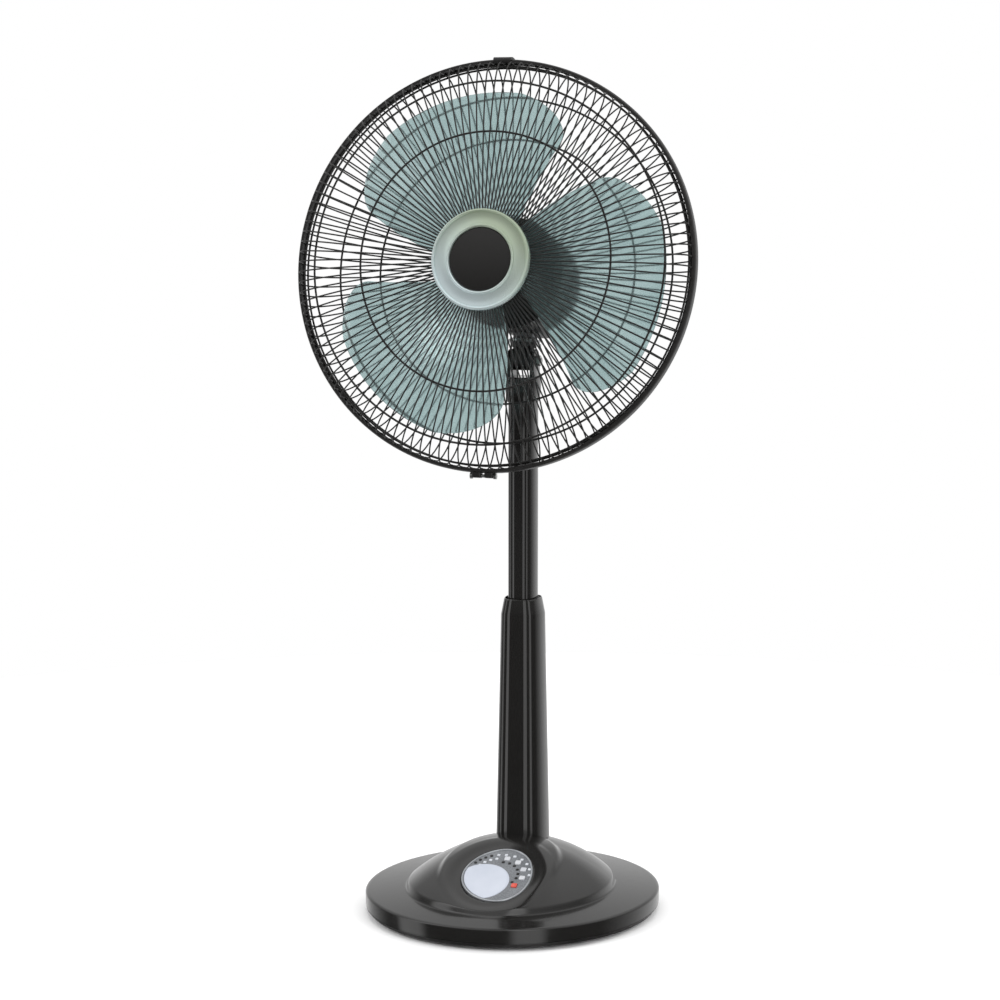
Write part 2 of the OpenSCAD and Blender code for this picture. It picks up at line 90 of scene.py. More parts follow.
def makeMesh(name, points, faces, sharp=35):
    # points in millimetres become a mesh in metres; doubles go first, then every closed shell is turned
    # to face out, and edges sharper than the angle stay crisp
    mesh = bpy.data.meshes.new(name)
    mesh.from_pydata((np.asarray(points, float) * mm).tolist(), [], [list(f) for f in faces])
    shell = bmesh.new()
    shell.from_mesh(mesh)
    bmesh.ops.remove_doubles(shell, verts=shell.verts, dist=mergeGap)
    bmesh.ops.recalc_face_normals(shell, faces=shell.faces)
    shell.to_mesh(mesh)
    shell.free()
    mesh.update()
    mesh.shade_smooth()
    mesh.set_sharp_from_angle(angle=math.radians(sharp))
    piece = bpy.data.objects.new(name, mesh)
    bpy.context.scene.collection.objects.link(piece)
    return piece


def gridFaces(rows, cols, wrapRows=False, wrapCols=False, first=0):
    # quads between neighbouring rows and columns of a grid of points
    r = np.arange(rows if wrapRows else rows - 1)
    c = np.arange(cols if wrapCols else cols - 1)
    a = r[:, None] * cols + c[None, :]
    b = r[:, None] * cols + (c[None, :] + 1) % cols
    d = ((r[:, None] + 1) % rows) * cols + c[None, :]
    e = ((r[:, None] + 1) % rows) * cols + (c[None, :] + 1) % cols
    return (np.stack([a, b, e, d], -1).reshape(-1, 4) + first).tolist()


def gridPiece(name, grid, wrapRows=False, wrapCols=False, capFirst=False, capLast=False, sharp=35):
    # grid[row, column] are points; a cap is one flat face over an end row
    rows, cols = grid.shape[:2]
    faces = gridFaces(rows, cols, wrapRows, wrapCols)
    if capFirst:
        faces.append(list(range(cols)))
    if capLast:
        faces.append(list(range((rows - 1) * cols, rows * cols)))
    return makeMesh(name, grid.reshape(-1, 3), faces, sharp)


def smoothStep(t):
    # 0 below 0 and 1 above 1, and three t squared less two t cubed between
    t = np.clip(t, 0, 1)
    return t * t * (3 - 2 * t)


def roundCorners(outline, radius, steps=5):
    # each corner of a closed outline is cut back along both sides and joined by a quadratic arc
    p = np.asarray(outline, float)
    before, after = np.roll(p, 1, 0) - p, np.roll(p, -1, 0) - p
    lenBefore = np.linalg.norm(before, axis=1, keepdims=True)
    lenAfter = np.linalg.norm(after, axis=1, keepdims=True)
    start = p + before / lenBefore * np.minimum(radius, 0.45 * lenBefore)
    end = p + after / lenAfter * np.minimum(radius, 0.45 * lenAfter)
    t = np.linspace(0, 1, steps)[None, :, None]
    arc = (1 - t) ** 2 * start[:, None] + 2 * t * (1 - t) * p[:, None] + t ** 2 * end[:, None]
    return arc.reshape(-1, 2)


def turned(profile, turns):
    # a profile of (radius, height) carried round the z axis: radius times cosine and sine, height as it is
    a = np.linspace(0, 2 * math.pi, turns, endpoint=False)
    p = np.asarray(profile, float)
    return np.stack([p[:, 0:1] * np.cos(a), p[:, 0:1] * np.sin(a), p[:, 1:2] + 0 * a], -1)


def lathe(name, profile, place, turns=144, sharp=35, closed=True):
    # a turned profile as one piece; closed also joins the profile's end to its start
    return gridPiece(name, place(turned(profile, turns)), wrapRows=closed, wrapCols=True, sharp=sharp)


def plate(name, outline, z0, z1, place, bevel=0.6, steps=4, crown=0.0):
    # an outline becomes a solid plate whose upper edge is rounded over; crown lifts its middle
    p = np.asarray(outline, float)
    middle = p.mean(0)
    t = np.linspace(0, math.pi / 2, steps)
    shrink = np.concatenate([[0, 0], bevel * (1 - np.cos(t))])
    height = np.concatenate([[z0, z1 - bevel], z1 - bevel + bevel * np.sin(t)])
    reach = np.linalg.norm(p - middle, axis=1, keepdims=True)
    rows = [np.c_[middle + (p - middle) * (1 - s / reach), np.full(len(p), h)]
            for s, h in zip(shrink, height)]
    top = rows[-1][:, :2]
    for k in (0.8, 0.55, 0.3, 0.02) if crown else ():
        rows.append(np.c_[middle + (top - middle) * k, np.full(len(p), z1 + crown * (1 - k * k))])
    return gridPiece(name, place(np.array(rows)), wrapCols=True, capFirst=True, capLast=True)


def joinMeshes(name, pieces):
    # several pieces become one object, so that one name stands for them
    parts = bmesh.new()
    for piece in pieces:
        parts.from_mesh(piece.data)
        old = piece.data
        bpy.data.objects.remove(piece)
        bpy.data.meshes.remove(old)
    mesh = bpy.data.meshes.new(name)
    parts.to_mesh(mesh)
    parts.free()
    joined = bpy.data.objects.new(name, mesh)
    bpy.context.scene.collection.objects.link(joined)
    return joined


# Camera.

print("camera")
cameraView = {
    "azimuth": 17.0, "pitch": 7.1,              # degrees
    "distance": 3.0,                            # metres
    "lens": 95.1, "sensor": 36.0,               # millimetres
    "sideways": -0.0262, "height": 0.4633,      # the point looked at, metres from the column
}


def makeCamera(v):
    # the camera stands back from its target along the azimuth and pitch, and is level
    a, p = math.radians(v["azimuth"]), math.radians(v["pitch"])
    right = np.array([math.cos(a), math.sin(a), 0])
    back = np.array([math.sin(a) * math.cos(p), -math.cos(a) * math.cos(p), math.sin(p)])
    target = np.array([0, columnY * mm, v["height"]]) + right * v["sideways"]
    data = bpy.data.cameras.new("camera")
    data.lens = v["lens"]
    data.sensor_width = v["sensor"]
    data.clip_end = 60
    camera = bpy.data.objects.new("camera", data)
    bpy.context.scene.collection.objects.link(camera)
    camera.location = target + back * v["distance"]
    camera.rotation_euler = (math.pi / 2 - p, 0, a)
    bpy.context.scene.camera = camera


makeCamera(cameraView)

# Materials: each is named for what the real one is made of.
print("materials")


def linear(code):
    # an sRGB hex code as linear red, green, blue and alpha, by the standard's own curve
    c = np.array([int(code[i:i + 2], 16) for i in (1, 3, 5)]) / 255
    c = np.where(c <= 0.04045, c / 12.92, ((c + 0.055) / 1.055) ** 2.4)
    return (*c.tolist(), 1.0)


def addNode(tree, kind, settings=None, **links):
    # settings are node properties or input values; links are sockets to join to inputs, where i0 to i3
    # stand for an input's number
    node = tree.nodes.new(kind)
    for key, value in (settings or {}).items():
        if isinstance(key, int) or key in node.inputs:
            node.inputs[key].default_value = value
        else:
            setattr(node, key, value)
    for key, socket in links.items():
        numbered = key[0] == "i" and key[1:].isdigit()
        tree.links.new(socket, node.inputs[int(key[1:]) if numbered else key.replace("_", " ")])
    return node


def startMaterial(name, **shader):
    # a principled surface with the given values on its own sockets
    material = bpy.data.materials.new(name)
    material.use_nodes = True
    tree = material.node_tree
    surface = tree.nodes["Principled BSDF"]
    for key, value in shader.items():
        surface.inputs[key.replace("_", " ")].default_value = value
    return material, tree, surface


def setRamp(colour, low, high, lowAt=0.0, highAt=1.0):
    # the ramp's two stops: where each is, and its colour
    for stop, place, code in zip(colour.color_ramp.elements, (lowAt, highAt), (low, high)):
        stop.position, stop.color = place, linear(code)


def mottled(name, light, dark, grainMm, bumpMm, roughLow, roughHigh, patchMm, **shader):
    # broad patches vary the colour a little, a fine grain moves the gloss and the surface
    material, tree, surface = startMaterial(name, **shader)
    place = addNode(tree, "ShaderNodeTexCoord")
    patch = addNode(tree, "ShaderNodeTexNoise", {"Scale": 1000 / patchMm, "Detail": 3.0},
                    Vector=place.outputs["Object"])
    grain = addNode(tree, "ShaderNodeTexNoise", {"Scale": 1000 / grainMm, "Detail": 2.0},
                    Vector=place.outputs["Object"])
    colour = addNode(tree, "ShaderNodeValToRGB", None, Fac=patch.outputs["Fac"])
    setRamp(colour, dark, light, 0.3, 0.7)
    rough = addNode(tree, "ShaderNodeMapRange",
                    {"From Min": 0.3, "From Max": 0.7, "To Min": roughLow, "To Max": roughHigh},
                    Value=grain.outputs["Fac"])
    bump = addNode(tree, "ShaderNodeBump", {"Strength": 0.5, "Distance": bumpMm * mm},
                   Height=grain.outputs["Fac"])
    tree.links.new(colour.outputs["Color"], surface.inputs["Base Color"])
    tree.links.new(rough.outputs["Result"], surface.inputs["Roughness"])
    tree.links.new(bump.outputs["Normal"], surface.inputs["Normal"])
    return material


# Each gets a light and a dark colour, grain and bump in millimetres, low and high roughness, and the
# patches' size in millimetres. A grain finer than about a millimetre wouldn't show, so it is drawn that coarse.

# polished charcoal ABS: deep warm grey with a soft sheen and a faint ripple from the mould
glossAbs = mottled("polishedCharcoalAbs", "#171615", "#131211", 9, 0.01, 0.14, 0.2, 120,
                   Coat_Weight=0.4, Coat_Roughness=0.06)
# spark-eroded black ABS: fine matt grain on the motor covers, neck and collar
satinAbs = mottled("erodedBlackAbs", "#1c1b1b", "#141313", 1.1, 0.08, 0.38, 0.52, 40)
# epoxy powder coat over steel wire: black, slightly orange-peeled
powderCoat = mottled("powderCoatedSteel", "#1d1c1b", "#141312", 1.6, 0.05, 0.3, 0.42, 50)
# black rubber: dull and a little dusty
rubber = mottled("mouldedRubber", "#2a2928", "#1d1c1c", 2.2, 0.1, 0.7, 0.9, 25)
# grey cast iron: rough sand-cast skin
castIron = mottled("sandCastIron", "#55544f", "#3b3a38", 1.8, 0.35, 0.6, 0.85, 30, Metallic=0.6)
# zinc plated steel: pale, faintly cloudy
zincSteel = mottled("zincPlatedSteel", "#c4c6c4", "#a6a8a4", 3.0, 0.03, 0.25, 0.4, 14, Metallic=1.0)
# ground steel: brighter, with fine tool marks
groundSteel = mottled("groundSteel", "#b3b4b5", "#8e8f91", 0.9, 0.03, 0.22, 0.38, 20, Metallic=1.0)
# die-cast aluminium: dull, slightly pitted
dieCast = mottled("dieCastAluminium", "#9c9da0", "#838487", 1.4, 0.2, 0.45, 0.6, 18, Metallic=0.9)
# enamelled copper wire: shiny red-brown bundles
copperWire = mottled("enamelledCopper", "#b06a34", "#8a4a20", 1.0, 0.4, 0.25, 0.4, 10, Metallic=0.8)
# sintered bronze: porous and brown-gold
bronze = mottled("sinteredBronze", "#b08b52", "#8c6c3c", 0.8, 0.1, 0.4, 0.55, 8, Metallic=1.0)
# natural acetal: milky, waxy white
acetal = mottled("naturalAcetal", "#dcdad0", "#cbc9bf", 4.0, 0.03, 0.35, 0.45, 20)
# lacquered glass-fibre board: dark green with a weave showing through
boardGreen = mottled("lacqueredGlassFibre", "#2f6b42", "#24532f", 0.9, 0.05, 0.3, 0.45, 12)
# pale polycarbonate window: bluish white, clear coated, nearly even
paleWindow = mottled("paleTintedPolycarbonate", "#bfc4cf", "#b5bbc7", 6, 0.02, 0.12, 0.2, 30,
                     Coat_Weight=0.6, Coat_Roughness=0.05)
# mid grey printed acrylic round the keys
greyBand = mottled("printedGreyAcrylic", "#707377", "#626569", 2.0, 0.03, 0.22, 0.32, 18,
                   Coat_Weight=0.4, Coat_Roughness=0.08)
# pale grey ABS keys with a satin top
keyAbs = mottled("paleGreyAbs", "#c6c8cc", "#babcc1", 1.2, 0.03, 0.3, 0.4, 12)
# red translucent polycarbonate power key
redKey = mottled("redPolycarbonate", "#d2594b", "#c2463a", 2.0, 0.02, 0.2, 0.3, 9, Coat_Weight=0.5)
# white diffusing acrylic over the lamps
ledWhite = mottled("diffusingAcrylic", "#c9ccd1", "#bdc0c6", 1.5, 0.02, 0.3, 0.4, 6)
# silver metallic paint on ABS, as on bezels
silverPaint = mottled("silverMetallicPaint", "#bbbec2", "#a9adb1", 0.7, 0.02, 0.28, 0.36, 25,
                      Metallic=0.75)


tint = {"deep": "#a1baba", "pale": "#b2c8c8", "flowMm": 71.43, "rippleMm": 2.381, "bumpMm": 0.04,
        "clear": 0.88}


def tintedBladeMaterial():
    # smoky teal polystyrene, moulded: light passes through it, and faint cloudy flow marks vary its depth
    material, tree, surface = startMaterial("tealTintedPolystyrene", IOR=1.59, Roughness=0.1,
                                            Transmission_Weight=tint["clear"])
    place = addNode(tree, "ShaderNodeTexCoord")
    flow = addNode(tree, "ShaderNodeTexNoise",
                   {"Scale": 1000 / tint["flowMm"], "Detail": 4.0, "Distortion": 0.6},
                   Vector=place.outputs["Object"])
    colour = addNode(tree, "ShaderNodeValToRGB", None, Fac=flow.outputs["Fac"])
    setRamp(colour, tint["deep"], tint["pale"], 0.3, 0.7)
    fine = addNode(tree, "ShaderNodeTexNoise", {"Scale": 1000 / tint["rippleMm"], "Detail": 2.0},
                   Vector=place.outputs["Object"])
    bump = addNode(tree, "ShaderNodeBump", {"Strength": 0.25, "Distance": tint["bumpMm"] * mm},
                   Height=fine.outputs["Fac"])
    tree.links.new(colour.outputs["Color"], surface.inputs["Base Color"])
    tree.links.new(bump.outputs["Normal"], surface.inputs["Normal"])
    return material


# the two trim colours are a painted reflection: lighter and bluer at lower left, darker and greener at upper
# right
trim = {"litLowerLeft": "#d2e0e2", "dimUpperRight": "#b2bfa9", "paintedReflectionMm": 45.0, "ringMm": 0.748, "bumpMm": 0.05,
        "rough": (0.24, 0.36)}


def spunSilverMaterial():
    # bright lacquered aluminium trim, spun on a lathe: fine rings round the fan's axis, and a painted
    # reflection over it: lighter cool blue-grey at lower left, darker green-grey at upper right
    material, tree, surface = startMaterial("spunLacqueredAluminium", Metallic=0.7)
    place = addNode(tree, "ShaderNodeTexCoord")
    centre = (fanPoint * mm).tolist()
    lean = math.atan2(headUp[1], headUp[2])
    upright = addNode(tree, "ShaderNodeMapping",
                      {"vector_type": "TEXTURE", "Location": centre, "Rotation": (-lean, 0, 0)},
                      Vector=place.outputs["Object"])
    apart = addNode(tree, "ShaderNodeSeparateXYZ", None, Vector=upright.outputs["Vector"])
    across = addNode(tree, "ShaderNodeMath", {"operation": "MULTIPLY_ADD", 1: 0.6}, i0=apart.outputs["X"],
                     i2=apart.outputs["Z"])
    # painted reflection: its colour runs across the ring from the lighter lower left to the darker upper right
    reach = trim["paintedReflectionMm"] * mm
    paintedReflection = addNode(tree, "ShaderNodeMapRange", {"From Min": -reach, "From Max": reach},
                    Value=across.outputs["Value"])
    colour = addNode(tree, "ShaderNodeValToRGB", None, Fac=paintedReflection.outputs["Result"])
    setRamp(colour, trim["litLowerLeft"], trim["dimUpperRight"])
    flat = addNode(tree, "ShaderNodeMapping", {"Scale": (1, 0, 1)}, Vector=upright.outputs["Vector"])
    rings = addNode(tree, "ShaderNodeTexWave",
                    {"wave_type": "RINGS", "rings_direction": "SPHERICAL",
                     "Scale": math.pi / (10 * trim["ringMm"] * mm), "Distortion": 0.6},
                    Vector=flat.outputs["Vector"])
    rough = addNode(tree, "ShaderNodeMapRange", {"To Min": trim["rough"][0], "To Max": trim["rough"][1]},
                    Value=rings.outputs["Fac"])
    bump = addNode(tree, "ShaderNodeBump", {"Strength": 0.12, "Distance": trim["bumpMm"] * mm},
                   Height=rings.outputs["Fac"])
    tree.links.new(colour.outputs["Color"], surface.inputs["Base Color"])
    tree.links.new(rough.outputs["Result"], surface.inputs["Roughness"])
    tree.links.new(bump.outputs["Normal"], surface.inputs["Normal"])
    return material


bladeTint = tintedBladeMaterial()
spunSilver = spunSilverMaterial()


def finishPiece(piece, material, body, slotName, *cadNodes):
    # a piece gets its material and the body it rides on, and the CAD nodes that it stands for are hidden;
    # slotName is not used
    piece.data.materials.clear()
    piece.data.materials.append(material)
    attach(piece, body)
    if cadNodes:
        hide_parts(*cadNodes)


# Guard: radial wires in two dished halves, hoops welded inside them, and a band round the rim.
print("guard")
guard = {
    "wires": 120, "wireRadius": 0.85, "hoopRadius": 1.15, "rim": 220.4, "sunk": 0.25, "rimHoopIn": 3.4,
    # each half: where its rim is, how deep and how squarely it bows, where its wires start, and its hoops
    "front": {"rim": 131.0, "depth": 41.0, "bow": 3.2, "inner": 44.0, "hoops": (140, 196.5)},
    "rear": {"rim": 127.0, "depth": -50.0, "bow": 3.0, "inner": 52.0, "hoops": (146, 190)},
}


def dish(r, half):
    # superellipse: the rim's height plus the depth times (1 - radius share ^ bow) ^ (1 / bow)
    share = np.clip(r / (guard["rim"] + 0.6), 0, 1)
    return half["rim"] + half["depth"] * np.power(1 - np.power(share, half["bow"]), 1 / half["bow"])


def wireFan(name, half):
    # one wire's path in the radius and height plane, a round section along it, turned to each station
    t = np.linspace(0, 1, 16)
    r = half["inner"] + (guard["rim"] - half["inner"]) * np.sin(t * math.pi / 2)
    path = np.stack([np.append(r, guard["rim"] + 0.2), np.append(dish(r, half), half["rim"])], -1)
    along = np.gradient(path, axis=0)
    along /= np.linalg.norm(along, axis=1, keepdims=True)
    across = np.stack([-along[:, 1], along[:, 0]], -1)
    b = np.linspace(0, 2 * math.pi, 8, endpoint=False)
    w = guard["wireRadius"]
    ring = path[:, None, :] + w * np.cos(b)[None, :, None] * across[:, None, :]
    sideways = np.broadcast_to(w * np.sin(b)[None, :], ring.shape[:2])
    a = np.arange(guard["wires"]) * 2 * math.pi / guard["wires"]
    ca, sa = np.cos(a)[:, None, None], np.sin(a)[:, None, None]
    x = ring[None, ..., 0] * ca - sideways[None] * sa
    y = ring[None, ..., 0] * sa + sideways[None] * ca
    z = np.broadcast_to(ring[None, ..., 1], x.shape)
    points = placeFan(np.stack([x, y, z], -1).reshape(-1, 3))
    count, rows, cols = x.shape
    faces = []
    for k in range(count):
        base = k * rows * cols
        faces += gridFaces(rows, cols, wrapCols=True, first=base)
        faces += [list(range(base, base + cols)), list(range(base + (rows - 1) * cols, base + rows * cols))]
    return makeMesh(name, points, faces, sharp=50)


def hoopRings(name, half, side):
    # tori about the fan's axis: two pressed against the inside of the wires, one just inside the rim
    thick = guard["hoopRadius"]
    lift = (guard["wireRadius"] + thick - guard["sunk"]) * 1.05      # the weld lets each sink in a little
    spots = [(r, float(dish(r, half)) - side * lift) for r in half["hoops"]]
    spots.append((guard["rim"] - guard["rimHoopIn"], half["rim"] + side * 3))
    b = np.linspace(0, 2 * math.pi, 10, endpoint=False)
    rings = [lathe(name + str(k), np.c_[r + thick * np.cos(b), h + thick * np.sin(b)], placeFan, 180)
             for k, (r, h) in enumerate(spots)]
    return joinMeshes(name, rings)


for piece, node in ((wireFan("frontGuardWires", guard["front"]), "front_guard_wires"),
                    (wireFan("rearGuardWires", guard["rear"]), "rear_guard_wires"),
                    (hoopRings("frontGuardRings", guard["front"], 1), "front_guard_rings"),
                    (hoopRings("rearGuardRings", guard["rear"], -1), "rear_guard_rings")):
    finishPiece(piece, powderCoat, "head", "coated_wire", node)

band = {"outer": 225.0, "middle": 129.0, "half": 8.0, "bow": 1.6, "wall": 2.2, "lip": 1.6, "tabHalf": 5.0,
        "tabAside": 7.0, "tabDeep": 6.0, "tabSunk": 0.8}


def rimBandPiece():
    # a rolled channel: a bowed outer wall with turned-in lips, and two tabs for the clamp screw
    outer, middle, half, bow = band["outer"], band["middle"], band["half"], band["bow"]
    t = np.linspace(-1, 1, 13)
    wall = np.c_[outer - bow * t ** 4, middle + half * t]
    inside = np.c_[outer - band["wall"] - bow * t[::-1] ** 4, middle + (half - 1.8) * t[::-1]]
    lipEnds = np.array([half, half - band["lip"]])
    edge = np.full(2, guard["rim"] + 0.3)
    ahead, behind = np.c_[edge, middle + lipEnds], np.c_[edge, middle - lipEnds[::-1]]
    profile = np.concatenate([wall, ahead, inside, behind])
    parts = [lathe("rimChannel", profile, placeFan, 240, sharp=50)]
    h = band["tabHalf"]
    outline = roundCorners(np.array([[-h, -h], [h, -h], [h, h], [-h, h]]) + [0, middle], 1.8, 4)
    for aside in (-band["tabAside"], band["tabAside"]):
        def placeTab(p):      # hangs below the band: x right, y ahead, z down
            down = band["tabSunk"] - outer - p[..., 2]
            return placeFan(np.stack([aside + p[..., 0], down, p[..., 1]], -1))
        parts.append(plate("clampTab", outline, 0, band["tabDeep"], placeTab, 1.0))
    return joinMeshes("rimBand", parts)


finishPiece(rimBandPiece(), powderCoat, "head", "coated_wire", "rim_band")


clip = {"wide": 20.0, "half": 9.6, "proud": 2.6, "thick": 2.4, "wrap": 5.2}


def topClipPiece():
    # a sprung C-clip bridging both halves of the guard at the top: a flattened arc carried along x
    t = np.linspace(-math.pi / 2, math.pi / 2, 15)
    top = band["outer"] + clip["proud"] - clip["wrap"] * (1 - np.cos(t) ** 0.5)
    ahead = clip["half"] * np.sin(t)
    outside = np.c_[top, band["middle"] + ahead]
    inside = np.c_[top - clip["thick"], band["middle"] + 0.9 * ahead]
    loop = np.concatenate([outside, inside[::-1]])
    x = np.linspace(-clip["wide"] / 2, clip["wide"] / 2, 9)[:, None]
    grid = np.stack([x + 0 * loop[:, 0], 0 * x + loop[:, 0], 0 * x + loop[:, 1]], -1)
    return gridPiece("topClip", placeFan(grid), wrapCols=True, capFirst=True, capLast=True)


finishPiece(topClipPiece(), satinAbs, "head", "black_plastic", "top_clip")

# Badge: a turned trim ring with two bright lips round a shallow domed disc.
print("badge")
badge = {"outer": 54.5, "inner": 34.6, "back": 176.5, "height": 4.2, "rise": 0.9, "outerLip": 1.8,
         "innerLip": 1.7, "discGap": 0.3, "discDome": 1.6}


def badgeRingPiece():
    # a half-round lip at each edge and a shallow channel between them that dips as a sine and rises inward
    outer, inner, lipOut, lipIn = badge["outer"], badge["inner"], badge["outerLip"], badge["innerLip"]
    z = badge["back"] + badge["height"]
    lip = np.linspace(0, math.pi, 9)
    outerLip = np.c_[outer - lipOut + lipOut * np.cos(lip), z + (lipOut + 0.4) * np.sin(lip)]
    dip = np.linspace(0, 1, 9)[1:-1]
    across = (outer - 2 * lipOut) * (1 - dip) + (inner + 2 * lipIn) * dip
    channel = np.c_[across, z + badge["rise"] * (dip - np.sin(dip * math.pi))]
    innerLip = np.c_[inner + lipIn + lipIn * np.cos(lip), z + badge["rise"] + lipIn * np.sin(lip)]
    back = [[inner, badge["back"]], [outer, badge["back"]]]
    profile = np.concatenate([back, outerLip, channel, innerLip])
    return lathe("badgeRing", profile, placeFan, 200, sharp=60)


def badgeDiscPiece():
    # a short wall with a broken edge, then a dome that rises by one less the square of the radius share
    edge, back = badge["inner"] - badge["discGap"], badge["back"]
    t = np.linspace(0, 1, 12)
    dome = np.c_[(edge - 0.8) * (1 - t), back + badge["height"] + badge["discDome"] * (1 - (1 - t) ** 2)]
    profile = np.concatenate([[[0, back], [edge, back], [edge, back + badge["height"] - 0.6]], dome])
    return lathe("badgeDisc", profile, placeFan, 160, sharp=30, closed=False)


finishPiece(badgeRingPiece(), spunSilver, "head", "silver_trim", "badge_ring")
finishPiece(badgeDiscPiece(), glossAbs, "head", "charcoal_shell", "badge_disc")

# Blades: a leaning, slightly cupped sheet with an airfoil thickness, three of them on a hub.
print("blades")
blade = {
    "count": 3, "hub": 26.0, "tip": 191.8, "middle": 124.0, "rise": 22.0, "thick": 2.2,
    "span": 48.0, "sweep": -15.0, "firstAngle": 123.5,      # degrees
    "hubBack": 98.0, "hubFront": 148.0, "hubRound": 4.0, "boss": 9.0, "bore": 4.1,
}


def bladeSheet(firstAngle):
    # u runs across the blade and v out along it: angle = first + u span share + sweep v, and height =
    # middle + rise u share, eased outward, plus a parabola for the cup and half the thickness either
    # side; the share is drawn in near the tip to round the corners
    b = blade
    v = np.linspace(0, 1, 56)[:, None]
    loop = np.linspace(0, 2 * math.pi, 96, endpoint=False)[None, :]
    u = np.cos(loop)
    side = np.sin(loop)
    tip = np.clip((v - 0.75) / 0.25, 0, 1)
    share = (1.04 - 0.1 * v) * np.sqrt(1 - 0.72 * tip ** 2)
    r = b["hub"] - 1.5 + v * (b["tip"] - b["hub"] + 1.5) + 0 * u
    a = np.radians(firstAngle + u * b["span"] * share + b["sweep"] * v)
    half = 0.5 * b["thick"] * np.abs(side) ** 0.55 * (1 - 0.45 * v) * np.sqrt(np.clip(1 - v ** 14, 0.02, 1))
    z = b["middle"] + b["rise"] * u * share * (1 - 0.28 * v) + 3 * (1 - u ** 2) + half * np.sign(side)
    return np.stack([r * np.cos(a), r * np.sin(a), z], -1)


def bladePiece():
    # three sheets on a turned cup with a rounded nose and a bored boss down its middle
    b = blade
    angles = [b["firstAngle"] + k * 360 / b["count"] for k in range(b["count"])]
    sheets = [gridPiece("sheet", placeFan(bladeSheet(angle)), wrapCols=True, capFirst=True, capLast=True,
                        sharp=70) for angle in angles]
    hub, back, front, nose = b["hub"], b["hubBack"], b["hubFront"], b["hubRound"]
    t = np.linspace(0, math.pi / 2, 7)
    noseArc = np.c_[hub - nose + nose * np.cos(t), front - nose + nose * np.sin(t)]
    boss = [[b["boss"], front], [b["boss"], front + 2], [b["bore"], front + 2], [b["bore"], back + 1],
            [b["boss"], back + 1], [b["boss"], front - 3]]
    inside = [[hub - 4, front - 3], [hub - 2.5, front - 5]]
    cup = np.concatenate([[[hub - 2.5, back], [hub, back]], noseArc, boss, inside])
    return joinMeshes("fanBlades", sheets + [lathe("hub", cup, placeFan, 120)])


finishPiece(bladePiece(), bladeTint, "rotor", "teal_blade", "blade")


spinner = {"radius": 15.0, "back": 150.3, "skirt": 157.0, "dome": 7.0, "grips": 8, "gripDepth": 0.07}


def spinnerPiece():
    # a domed nut; its skirt's radius is less by the root of a cosine that repeats for each finger grip
    n = spinner
    a = np.linspace(0, 2 * math.pi, 160, endpoint=False)[None, :]
    t = np.linspace(0, math.pi / 2, 12)
    r = np.concatenate([[blade["bore"], *[n["radius"]] * 3], n["radius"] * np.cos(t)])[:, None]
    skirt = [n["back"], n["back"], n["back"] + 1.7, n["skirt"]]
    z = np.concatenate([skirt, n["skirt"] + n["dome"] * np.sin(t)])[:, None]
    onSkirt = (r > 10) * (z < n["skirt"] + 3)
    grip = 1 - n["gripDepth"] * np.clip(np.cos(n["grips"] * a), 0, 1) ** 0.5 * onSkirt
    grid = np.stack([r * grip * np.cos(a), r * grip * np.sin(a), z + 0 * a], -1)
    return gridPiece("spinnerNut", placeFan(grid), wrapCols=True, capFirst=True, sharp=40)


finishPiece(spinnerPiece(), satinAbs, "rotor", "black_plastic", "spinner_nut")

# Motor: a turned front cup and a rounded rear bell with cooling slots, and the swing gear's box below.
print("motor")
motor = {"radius": 58.0, "split": 46.2, "face": 71.0, "rear": -62.0, "shoulder": -10.0, "slots": 30,
         "wall": 2.0, "edge": 0.35, "faceRound": 6.0, "spigot": 19.0, "spigotEnd": 88.0, "bore": 8.0}


def openShell(name, grid, keep, wall, sharp=35):
    # quads whose keep value is true make a sheet; Solidify turns it inward into a wall
    rows, cols = grid.shape[:2]
    faces = np.array(gridFaces(rows, cols, wrapCols=True))[keep.reshape(-1)]
    piece = makeMesh(name, grid.reshape(-1, 3), faces.tolist(), sharp)
    solid = piece.modifiers.new("wall", "SOLIDIFY")
    solid.thickness = wall * mm
    solid.offset = -1
    bevel = piece.modifiers.new("edges", "BEVEL")
    bevel.width = motor["edge"] * mm
    bevel.segments = 2
    bevel.limit_method = "ANGLE"
    bevel.angle_limit = math.radians(40)
    return piece


def rearBellPiece():
    # a straight drum, then a dome whose radius falls as a cosine's root; slots are quads left out by row
    # and column
    m = motor
    drum = np.c_[m["radius"] - np.linspace(0, 1, 5) ** 1.5, np.linspace(m["split"], m["shoulder"], 5)]
    t = np.linspace(0, math.pi / 2, 15)[1:]
    dome = np.c_[4 + (m["radius"] - 5) * np.cos(t) ** 0.55,
                 m["shoulder"] + (m["rear"] - m["shoulder"]) * np.sin(t) ** 1.1]
    profile = np.concatenate([drum, dome, [[0.01, m["rear"]]]])
    turns = m["slots"] * 6
    grid = turned(profile, turns)
    row = np.arange(len(profile) - 1)[:, None]
    col = np.arange(turns)[None, :]
    sideSlots = (row >= 1) & (row <= 2) & (col % 6 < 2)
    backSlots = (row >= 9) & (row <= 13) & (col % 12 < 4)
    return openShell("motorRearCover", placeFan(grid), ~(sideSlots | backSlots), m["wall"])


gearBox = {
    "halfWide": 21.0, "ahead": -15.0, "behind": 46.0, "corner": 7.0,
    # height above the tilt bolt, and the section's share of the full size there
    "levels": [(30.0, 0.86), (30.4, 0.93), (31.6, 0.975), (34.0, 1.0), (44.0, 1.0), (56.0, 0.97),
               (66.0, 0.8)],
}


